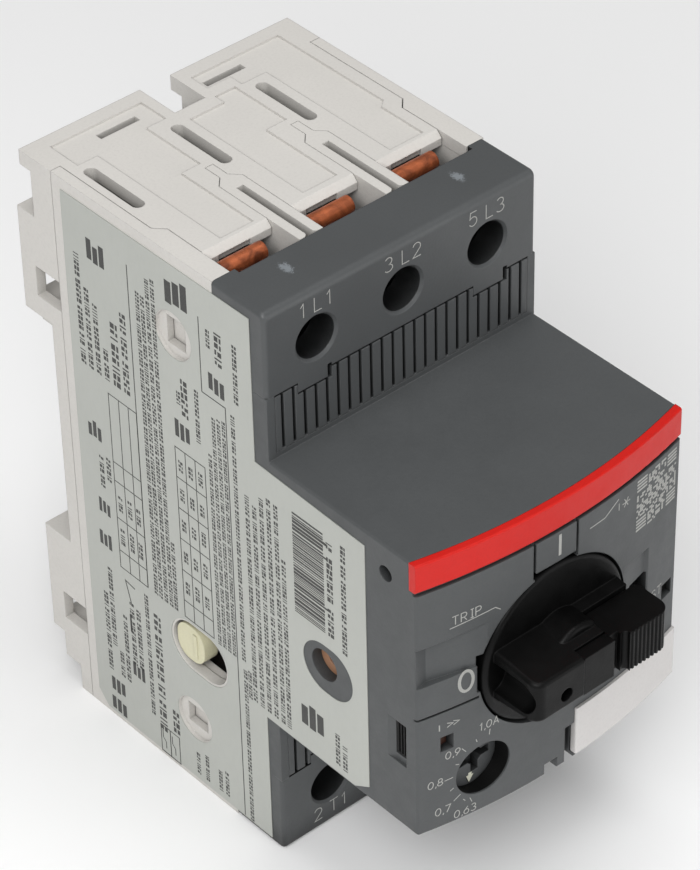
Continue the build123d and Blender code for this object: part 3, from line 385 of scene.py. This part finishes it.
NODE_LOOKS = {
    "light_grey": ["base_housing", "left_side_cover", "right_side_cover", "phase_barrier_1",
                   "phase_barrier_2", "rail_clip"],
    "dark_grey": ["front_housing", "line_vent_grille", "load_vent_grille", "current_dial"],
    "shroud": ["line_terminal_shroud", "load_terminal_shroud"],
    "black": ["handle_knob", "lock_slide"],
    "dark_insert": ["side_louvre", "drive_shaft", "test_button", "contact_carrier", "trip_slider",
                    "dial_cam"],
    "red": ["red_stripe"],
    "white": ["marker_plate", "coil_bobbins"],
    "cream": ["auxiliary_lever"],
    "brown": ["trip_flag", "trip_latch"],
    "socket": ["side_socket_insert"],
    "label": ["side_label"],
    "copper": ["line_clamp_bars", "load_clamp_bars", "line_fixed_contacts", "load_fixed_contacts",
               "contact_bridges", "magnet_coils", "heater_brackets"],
    "steel": ["line_terminal_screws", "load_terminal_screws", "line_clamp_cages", "load_clamp_cages",
              "line_arc_plates", "load_arc_plates", "magnet_yokes", "mechanism_frame", "frame_screws",
              "trip_plunger_1", "trip_plunger_2", "trip_plunger_3", "latch_pin", "heater_windings"],
    "spring": ["latch_spring", "contact_spring_1", "contact_spring_2", "contact_spring_3"],
    "bimetal": ["bimetal_strips"],
}


def dress_nodes():
    """Gives every CAD node its finish."""
    left = set(NODES)
    for look, names in NODE_LOOKS.items():
        for name in names:
            slots = NODES[name].material_slots
            if not slots:
                NODES[name].data.materials.append(MATERIALS[look])
            for slot in slots:
                slot.material = MATERIALS[look]
            left.discard(name)
    if left:
        raise RuntimeError(f"no finish for {sorted(left)}")


dress_nodes()

# ---------------------------------------------------------------- surfaces that carry print
FRONT_LOW, FRONT_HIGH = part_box("front_housing")
HALF_W = FRONT_HIGH.x
BULGE = 2.8 * MM
FRONT_Y = FRONT_LOW.y
FRONT_R = (HALF_W**2 + BULGE**2) / (2 * BULGE)
LABEL_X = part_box("side_label")[0].x
TERMINAL_Y = LINE_SHROUD[0].y
INK_PROUD = 0.02 * MM
INK_SUNK = 0.03 * MM


def on_front(u, v, w):
    """Point on the convex front: u is X, v is Z, w is how far it stands proud."""
    return Vector((u, FRONT_Y + FRONT_R - math.sqrt((FRONT_R + w) ** 2 - u**2), v))


def on_label(u, v, w):
    """Point on the left label, read with the object turned on its front: u is Z, v is Y."""
    return Vector((LABEL_X - w, v, u))


def on_terminals(u, v, w):
    """Point on the terminal face: u is X, v is Z."""
    return Vector((u, TERMINAL_Y - w, v))


class Print:
    """Thin raised ink on one surface, gathered in one mesh. Sizes are in millimetres on that surface."""

    def __init__(self, surface, step=1.2):
        self.surface = surface
        self.step = step
        self.mesh = bmesh.new()

    def ladder(self, left, right, closed=False):
        """A closed solid between two rows of points."""
        make = self.mesh.verts.new
        rows = []
        for (lu, lv), (ru, rv) in zip(left, right):
            rows.append([make(self.surface(u * MM, v * MM, w)) for u, v, w in (
                (lu, lv, INK_PROUD), (ru, rv, INK_PROUD), (ru, rv, -INK_SUNK), (lu, lv, -INK_SUNK))])
        pairs = list(zip(rows, rows[1:]))
        if closed:
            pairs.append((rows[-1], rows[0]))
        for a, b in pairs:
            for i in range(4):
                j = (i + 1) % 4
                self.mesh.faces.new((a[i], a[j], b[j], b[i]))
        if not closed:
            self.mesh.faces.new(reversed(rows[0]))
            self.mesh.faces.new(rows[-1])

    def bar(self, u0, u1, v0, v1):
        """A filled rectangle."""
        count = max(1, math.ceil(abs(u1 - u0) / self.step))
        us = [u0 + (u1 - u0) * i / count for i in range(count + 1)]
        self.ladder([(u, v1) for u in us], [(u, v0) for u in us])

    def stroke(self, points, width, closed=False):
        """A line of even width with mitred corners."""
        fine = []
        ends = list(zip(points, points[1:])) + ([(points[-1], points[0])] if closed else [])
        for (u0, v0), (u1, v1) in ends:
            count = max(1, math.ceil(math.hypot(u1 - u0, v1 - v0) / self.step))
            fine += [(u0 + (u1 - u0) * i / count, v0 + (v1 - v0) * i / count) for i in range(count)]
        if not closed:
            fine.append(points[-1])
        left, right = [], []
        last = len(fine) - 1
        for i, (u, v) in enumerate(fine):
            before = fine[i - 1] if i or closed else fine[0]
            after = fine[(i + 1) % len(fine)] if i < last or closed else fine[last]
            a = Vector((u - before[0], v - before[1]))
            b = Vector((after[0] - u, after[1] - v))
            a = (a if a.length else b).normalized()
            b = (b if b.length else a).normalized()
            along = (a + b).normalized() if (a + b).length > 1e-6 else a
            reach = width / 2 / max(0.5, along.dot(a))
            left.append((u - along.y * reach, v + along.x * reach))
            right.append((u + along.y * reach, v - along.x * reach))
        self.ladder(left, right, closed)

    def finish(self, name, body, look):
        bmesh.ops.recalc_face_normals(self.mesh, faces=self.mesh.faces)
        data = bpy.data.meshes.new(name)
        self.mesh.to_mesh(data)
        self.mesh.free()
        data.materials.append(MATERIALS[look])
        made = bpy.data.objects.new(name, data)
        bpy.context.scene.collection.objects.link(made)
        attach(made, body)
        return made


def arc(u, v, radius_u, radius_v, start, end, count=10):
    """Points on an ellipse from one angle to another, in degrees."""
    angles = [math.radians(start + (end - start) * i / count) for i in range(count + 1)]
    return [(u + radius_u * math.cos(a), v + radius_v * math.sin(a)) for a in angles]


# ---------------------------------------------------------------- stroke letters on a 4 by 6 grid
BOWL = [(0.3, 0), (0.3, 6), (2.3, 6)] + arc(2.3, 4.4, 1.5, 1.6, 90, -90, 7) + [(0.3, 2.8)]
GLYPHS = {
    "0": [arc(2, 3, 1.9, 3, 90, 450, 20)],
    "1": [[(0.9, 4.6), (2.2, 6), (2.2, 0)]],
    "2": [arc(2, 4.3, 1.8, 1.7, 165, -35, 9) + [(0.2, 0), (3.9, 0)]],
    "3": [arc(1.9, 4.5, 1.6, 1.5, 150, -90, 9) + arc(1.9, 1.5, 1.9, 1.5, 90, -150, 9)],
    "5": [[(3.6, 6), (0.7, 6), (0.4, 3.3)] + arc(1.9, 1.95, 1.9, 1.95, 125, -150, 10)],
    "6": [[(2.9, 6), (0.6, 3.0)], arc(2, 1.9, 1.8, 1.9, 0, 360, 16)],
    "7": [[(0.1, 6), (3.8, 6), (1.5, 0)]],
    "8": [arc(2, 4.5, 1.5, 1.5, 0, 360, 14), arc(2, 1.5, 1.9, 1.5, 0, 360, 14)],
    "9": [[(1.1, 0), (3.4, 3.0)], arc(2, 4.1, 1.8, 1.9, 0, 360, 16)],
    "4": [[(3.0, 0), (3.0, 6), (0.1, 1.9), (4.0, 1.9)]],
    ",": [[(0.9, 0.5), (0.4, -1.0)]],
    "A": [[(0, 0), (2, 6), (4, 0)], [(0.7, 2.0), (3.3, 2.0)]],
    "E": [[(3.6, 6), (0.3, 6), (0.3, 0), (3.6, 0)], [(0.3, 3.1), (3.1, 3.1)]],
    "I": [[(1.0, 6), (3.0, 6)], [(2.0, 6), (2.0, 0)], [(1.0, 0), (3.0, 0)]],
    "L": [[(0.4, 6), (0.4, 0), (3.7, 0)]],
    "P": [BOWL],
    "R": [BOWL, [(2.1, 2.8), (3.9, 0)]],
    "S": [arc(2, 4.5, 1.7, 1.5, 30, 250, 9) + arc(2, 1.5, 1.8, 1.5, 70, -150, 9)],
    "T": [[(0, 6), (4, 6)], [(2, 6), (2, 0)]],
    " ": [],
}
ADVANCE = {"1": 4.2, ",": 1.7, "I": 4.0, " ": 2.6}
USUAL_ADVANCE = 5.3


def write(target, text, u, v, height, weight, slant=0.0):
    """Writes a short generic mark, centred on u, with its foot at v."""
    unit = height / 6
    total = sum(ADVANCE.get(c, USUAL_ADVANCE) for c in text) * unit
    start = u - total / 2
    for character in text:
        for line in GLYPHS[character]:
            points = [(start + (a + b * slant) * unit, v + b * unit) for a, b in line]
            if len(points) > 3 and math.dist(points[0], points[-1]) < 1e-6:
                target.stroke(points[:-1], weight, closed=True)
            else:
                target.stroke(points, weight)
        start += ADVANCE.get(character, USUAL_ADVANCE) * unit


# ---------------------------------------------------------------- marks on the terminals
MARK_X = (-14.1, 0.2, 14.3)
MARK_FOOT = (41.6, -43.2)     # foot of the upper and of the lower numbers
MARK_HEIGHT = 2.1
FINE_LINE = 0.13


def terminal_marks():
    ink_on = Print(on_terminals)
    for number, x in enumerate(MARK_X):
        write(ink_on, f"{2 * number + 1} L{number + 1}", x, MARK_FOOT[0], MARK_HEIGHT, FINE_LINE)
        write(ink_on, f"{2 * number + 2} T{number + 1}", x, MARK_FOOT[1], MARK_HEIGHT, FINE_LINE)
    return ink_on.finish("terminal_numbers", "housing", "pale_ink")


# ---------------------------------------------------------------- marks on the front
def front_marks():
    ink_on = Print(on_front)
    ink_on.bar(-1.32, -0.88, 13.8, 17.1)
    ink_on.stroke(arc(-15.55, 0.85, 1.0, 1.65, 0, 360, 28)[:-1], 0.45, closed=True)
    write(ink_on, "TRIP", -15.3, 10.95, 1.35, 0.12)
    ink_on.stroke([(-17.9, 10.55), (-11.3, 10.85), (-10.5, 10.15)], 0.12)
    write(ink_on, "TEST", 17.1, -5.6, 1.4, 0.12)
    # line that rises in two steps, with a star, as on release symbols
    ink_on.stroke([(4.1, 15.0), (6.8, 15.05), (9.4, 16.5)], 0.13)
    ink_on.stroke([(9.5, 15.7), (9.5, 14.6)], 0.12)
    for angle in (0, 60, 120):
        du = 0.75 * math.cos(math.radians(angle))
        dv = 0.75 * math.sin(math.radians(angle))
        ink_on.stroke([(10.9 - du, 15.1 - dv), (10.9 + du, 15.1 + dv)], 0.12)
    # short bar and two chevrons over the flag window
    ink_on.stroke([(-19.4, -4.75), (-19.4, -5.75)], 0.16)
    for u in (-18.3, -17.4):
        ink_on.stroke([(u, -4.9), (u + 0.85, -5.2), (u, -5.6)], 0.13)
    return ink_on.finish("front_marks", "housing", "pale_ink")


def square_pattern():
    """A field of random squares with a hatched block in each corner; it carries no data."""
    ink_on = Print(on_front)
    count = 25
    pitch = 0.34
    left = 13.1
    top = 16.9
    corner = 7      # cells along a corner block, with its clear border
    block = corner - 1
    rng = random.Random(11)

    def cell(i, j):
        return (left + i * pitch, left + (i + 1) * pitch, top - (j + 1) * pitch, top - j * pitch)

    def in_corner(i, j):
        return (i < corner or i >= count - corner) and (j < corner or j >= count - corner)

    for j in range(count):
        i = 0
        while i < count:
            run = rng.randint(1, 3)
            if rng.random() < 0.5 and not any(in_corner(k, j) for k in range(i, min(i + run, count))):
                u0, _, v0, v1 = cell(i, j)
                ink_on.bar(u0, cell(min(i + run, count) - 1, j)[1], v0 + 0.03, v1 - 0.03)
                i += run
            i += 1
    for i, j in ((0, 0), (count - block, 0), (0, count - block), (count - block, count - block)):
        u0, _, _, v1 = cell(i, j)
        size = block * pitch
        for step in range(4):
            ink_on.bar(u0, u0 + size, v1 - size * (step + 0.55) / 4, v1 - size * step / 4)
    return ink_on.finish("square_pattern", "housing", "pale_ink")


DIAL_LOW, DIAL_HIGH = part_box("current_dial")
DIAL_X = (DIAL_LOW.x + DIAL_HIGH.x) / 2 / MM
DIAL_Z = (DIAL_LOW.z + DIAL_HIGH.z) / 2 / MM


# text, centre, foot and height of each number
DIAL_NUMBERS = (
    ("0,63", -15.6, -21.95, 1.2), ("0,7", -18.85, -20.25, 1.2), ("0,8", -19.9, -15.1, 1.15),
    ("0,9", -17.4, -11.05, 1.15), ("1,0A", -12.1, -8.7, 1.2),
)
# ends of each tick: the five that belong to numbers, then the short ones between them
DIAL_TICKS = (
    ((-15.0, -19.5), (-14.7, -20.3)), ((-17.4, -18.8), (-16.4, -18.1)), ((-18.7, -14.65), (-17.5, -14.6)),
    ((-16.2, -10.3), (-15.6, -11.1)), ((-12.0, -9.1), (-12.1, -10.0)),
    ((-17.1, -12.6), (-16.6, -12.8)), ((-14.1, -9.8), (-13.95, -10.3)),
    ((-17.9, -16.8), (-17.4, -16.5)), ((-16.0, -19.2), (-15.7, -19.6)),
)


def dial_scale():
    """Setting values round the dial, with long and short ticks."""
    ink_on = Print(on_front)
    for text, u, v, height in DIAL_NUMBERS:
        write(ink_on, text, u, v, height, 0.12, slant=0.06)
    for ends in DIAL_TICKS:
        ink_on.stroke(ends, 0.11)
    return ink_on.finish("dial_scale", "housing", "pale_ink")


POINTER_ANGLE = 262
# distance from the dial's centre and half width, from the arrow's root to its tip
POINTER_OUTLINE = ((2.2, 0.28), (2.6, 0.28), (2.6, 0.62), (3.7, 0.05))


def dial_pointer():
    """Pale paint in the arrow of the dial."""
    face = DIAL_LOW.y

    def on_dial(u, v, w):
        return Vector((u, face - w, v))

    ink_on = Print(on_dial)
    a = math.radians(POINTER_ANGLE)
    along = Vector((math.cos(a), math.sin(a)))
    across = Vector((-along.y, along.x))
    centre = Vector((DIAL_X, DIAL_Z))
    left = [tuple(centre + along * reach + across * half) for reach, half in POINTER_OUTLINE]
    right = [tuple(centre + along * reach - across * half) for reach, half in POINTER_OUTLINE]
    ink_on.ladder(left, right)
    return ink_on.finish("dial_pointer", "current_dial", "cream_ink")


# ---------------------------------------------------------------- print on the left label
def fine_print(target, v, start, end, height, weight, rng, gap=0.35):
    """A row of ticks and dashes between two places along u. They spell nothing."""
    u = start
    while u < end - 0.4 * height:
        word = rng.randint(3, 9)
        for _ in range(word):
            width = height * rng.choice((0.28, 0.5, 0.56, 0.62))
            if u + width > end:
                return
            glyph(target, u, v, width, height, weight, rng)
            u += width + height * 0.2
        u += height * gap


def glyph(target, u, v, width, height, weight, rng):
    """One stand-in for a character: a tick, or two dashes one over the other. It is no letter."""
    if width < height * 0.4:
        target.bar(u, u + weight, v, v + height)
        return
    split = rng.choice((0.36, 0.5, 0.64)) * height
    inset = rng.choice((0.0, 0.12, 0.25)) * width
    target.bar(u, u + width - inset, v + 0.04, v + split - weight / 2)
    target.bar(u + inset, u + width, v + split + weight / 2, v + height - 0.04)


def table(target, us, vs, weight):
    """Ruled lines of a table; us and vs are the places of its rules."""
    for u in us:
        target.bar(u - weight / 2, u + weight / 2, vs[0] - weight / 2, vs[-1] + weight / 2)
    for v in vs:
        target.bar(us[0], us[-1], v - weight / 2, v + weight / 2)


def bold_mark(target, u, v, size, rng):
    """A square of three blocky bars, a plain stand-in for a printed sign."""
    third = size / 3
    for row in range(3):
        start = u + third * 0.4 * rng.random()
        end = u + size * rng.uniform(0.7, 1.0)
        target.bar(start, end, v + row * third + 0.12, v + (row + 1) * third - 0.18)


# rows of small print: place in Y, from and to in Z, letter height
SMALL_PRINT = (
    (-7.0, 16.8, 35.6, 1.05), (-8.6, 16.8, 30.0, 1.0), (-10.2, 16.8, 28.5, 1.0), (-11.9, 16.8, 22.4, 1.0),
    (-19.4, -15.2, 35.3, 0.8), (-20.4, -15.2, 35.3, 0.8), (-21.5, -15.2, 38.8, 0.8),
    (-22.6, -15.2, 38.8, 0.8), (-23.6, -15.2, -3.0, 0.8), (-30.4, 17.4, 26.2, 0.85), (-26.7, 21.5, 24.0, 0.8),
    (-33.3, 34.2, 37.4, 0.8), (-38.4, 28.2, 38.0, 0.9), (-32.6, -15.4, 17.0, 0.72),
    (-33.6, -15.4, 23.6, 0.72), (-34.6, -15.4, 23.6, 0.72), (-35.6, -15.4, 24.2, 0.72),
    (-37.5, -15.0, 26.0, 0.8), (-37.7, -44.0, -16.2, 0.8), (-39.6, -20.8, 14.6, 0.85),
    (-41.0, -20.8, 13.5, 0.85), (-42.4, -20.8, 16.0, 0.85), (-43.8, -20.8, 16.4, 0.85),
    (-45.2, -20.8, 16.8, 0.85), (-46.4, -20.8, 8.0, 0.85), (-38.6, -21.0, -15.8, 0.75),
    (-57.9, -0.4, 17.6, 0.95), (-56.0, -20.6, -14.8, 0.9), (-57.4, -20.8, -16.2, 0.9),
    (-7.9, -36.2, -21.8, 0.95), (-9.2, -31.0, -16.4, 0.95), (-10.6, -36.0, -31.2, 0.9),
    (-11.9, -36.0, -23.2, 0.9), (-13.6, -31.8, -20.4, 0.95), (-15.0, -31.8, -20.8, 0.95),
    (-17.0, -38.6, -16.6, 0.85), (-26.5, -43.2, -38.8, 0.8), (-28.4, -43.2, -38.0, 0.8),
    (-31.2, -43.0, -39.0, 0.8), (-32.6, -43.0, -38.2, 0.8), (-9.2, -2.8, 3.2, 0.95), (-10.7, -1.0, 3.2, 0.95),
)
BOLD_PRINT = (
    (-14.7, 16.8, 27.6, 1.5), (-16.6, 16.8, 30.3, 1.25), (-19.9, -40.2, -18.4, 1.5),
    (-22.7, -38.8, -34.7, 1.4), (-35.9, 32.3, 38.4, 1.35), (-28.6, 19.9, 26.0, 1.35),
)
# corner in Z and Y, and size, of each block of bars
BOLD_MARKS = (
    (-18.0, -53.4, 4.6), (4.9, -9.7, 3.0), (-44.0, -10.8, 3.4), (-40.2, -10.8, 3.2), (27.4, -36.2, 3.3),
    (15.7, -28.7, 3.2), (-13.6, -10.2, 2.8), (36.8, -29.6, 4.6), (34.8, -13.0, 3.8), (-34.0, -15.6, 2.8),
    (-7.6, -10.4, 2.6),
)


def label_print():
    """Everything printed on the side label: rules, rows of print, two tables, blocks and bars."""
    ink_on = Print(on_label, step=50)
    rng = random.Random(4)
    # long rules beside the tables
    ink_on.bar(-44.0, 26.4, -36.25, -36.1)
    ink_on.bar(26.3, 26.45, -36.2, -31.6)
    ink_on.bar(26.4, 38.1, -31.7, -31.55)
    ink_on.bar(-15.1, 38.4, -17.7, -17.55)
    for v, start, end, height in SMALL_PRINT:
        fine_print(ink_on, v - height / 2, start, end, height, 0.13, rng)
    for v, start, end, height in BOLD_PRINT:
        fine_print(ink_on, v, start, end, height, 0.24, rng)
    # tables with their entries
    table(ink_on, (-15.1, -12.2, -6.9, -1.5, 3.7, 8.9, 13.9), (-31.4, -29.4, -27.4, -25.4), 0.13)
    for row in (-31.0, -29.0, -27.0):
        for start in (-11.4, -6.0, -0.6, 4.4, 9.4):
            fine_print(ink_on, row + 0.2, start + 0.7, start + 3.1, 0.9, 0.15, rng)
    table(ink_on, (-15.1, -12.1, -6.4, 0.0, 3.2, 14.6), (-17.6, -15.9, -13.9, -11.8), 0.13)
    for row in (-17.2, -15.4, -13.4):
        for start in (-11.4, -5.6):
            fine_print(ink_on, row + 0.2, start + 0.6, start + 3.8, 0.9, 0.15, rng)
    for u, v, size in BOLD_MARKS:
        bold_mark(ink_on, u, v, size, rng)
    ink_on.stroke([(-26.0, -13.2), (-22.8, -13.2)], 0.35)
    ink_on.stroke([(-20.6, -13.6), (-17.0, -12.6), (-17.4, -14.6)], 0.18)
    # contact symbols in two boxes
    for v in (-20.4, -18.4):
        ink_on.stroke([(-44.3, v - 2.0), (-39.4, v - 2.0), (-39.4, v), (-44.3, v)], 0.14, closed=True)
        ink_on.stroke([(-43.4, v - 1.0), (-42.2, v - 1.0), (-41.6, v - 0.4), (-40.2, v - 0.4)], 0.14)
    barcode(ink_on)
    return ink_on.finish("label_print", "housing", "black_ink")


def barcode(target):
    """Random bars with a row of ticks and dashes; they encode nothing."""
    rng = random.Random(8)
    u = 0.9
    while u < 17.1:
        width = rng.choice((0.14, 0.14, 0.28, 0.42))
        short = rng.random() < 0.12
        target.bar(u, u + width, -54.9 if short else -54.2, -48.4)
        u += width + rng.choice((0.14, 0.2, 0.3))
    fine_print(target, -55.9, 0.9, 16.6, 1.15, 0.16, rng, gap=0.9)


# black sheet that paints shade on the wall of the dial's hole
LINING_GAP = 0.065 * MM       # from the dial's edge to the outside of the lining
LINING_T = 0.04 * MM
LINING_FLOOR = 0.2 * MM       # how far the lining reaches behind the dial's face
LINING_SUNK = 0.25 * MM       # how far it ends behind the front
LINING_STEPS = 72


def dial_hole_shade_sheet():
    """Black sheet lining the dial's hole, from the dial's face up to the front; it paints shade on the hole's
    wall.
    """
    mesh = bmesh.new()
    outer = (DIAL_HIGH.x - DIAL_LOW.x) / 2 + LINING_GAP
    inner = outer - LINING_T
    centre_x, centre_z = DIAL_X * MM, DIAL_Z * MM
    floor_y = DIAL_LOW.y + LINING_FLOOR
    rings = []
    for i in range(LINING_STEPS):
        a = 2 * math.pi * i / LINING_STEPS
        row = []
        for radius, at_front in ((outer, True), (outer, False), (inner, False), (inner, True)):
            x = centre_x + radius * math.cos(a)
            z = centre_z + radius * math.sin(a)
            y = on_front(x, z, -LINING_SUNK).y if at_front else floor_y
            row.append(mesh.verts.new((x, y, z)))
        rings.append(row)
    for a, b in zip(rings, rings[1:] + rings[:1]):
        for i in range(4):
            j = (i + 1) % 4
            mesh.faces.new((a[i], a[j], b[j], b[i]))
    bmesh.ops.recalc_face_normals(mesh, faces=mesh.faces)
    data = bpy.data.meshes.new("dial_hole_shade_sheet")
    mesh.to_mesh(data)
    mesh.free()
    data.materials.append(MATERIALS["dark_insert"])
    made = bpy.data.objects.new("dial_hole_shade_sheet", data)
    bpy.context.scene.collection.objects.link(made)
    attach(made, "housing")


terminal_marks()
front_marks()
# painted shade: black sheet in the dial's hole
dial_hole_shade_sheet()
square_pattern()
dial_scale()
dial_pointer()
label_print()
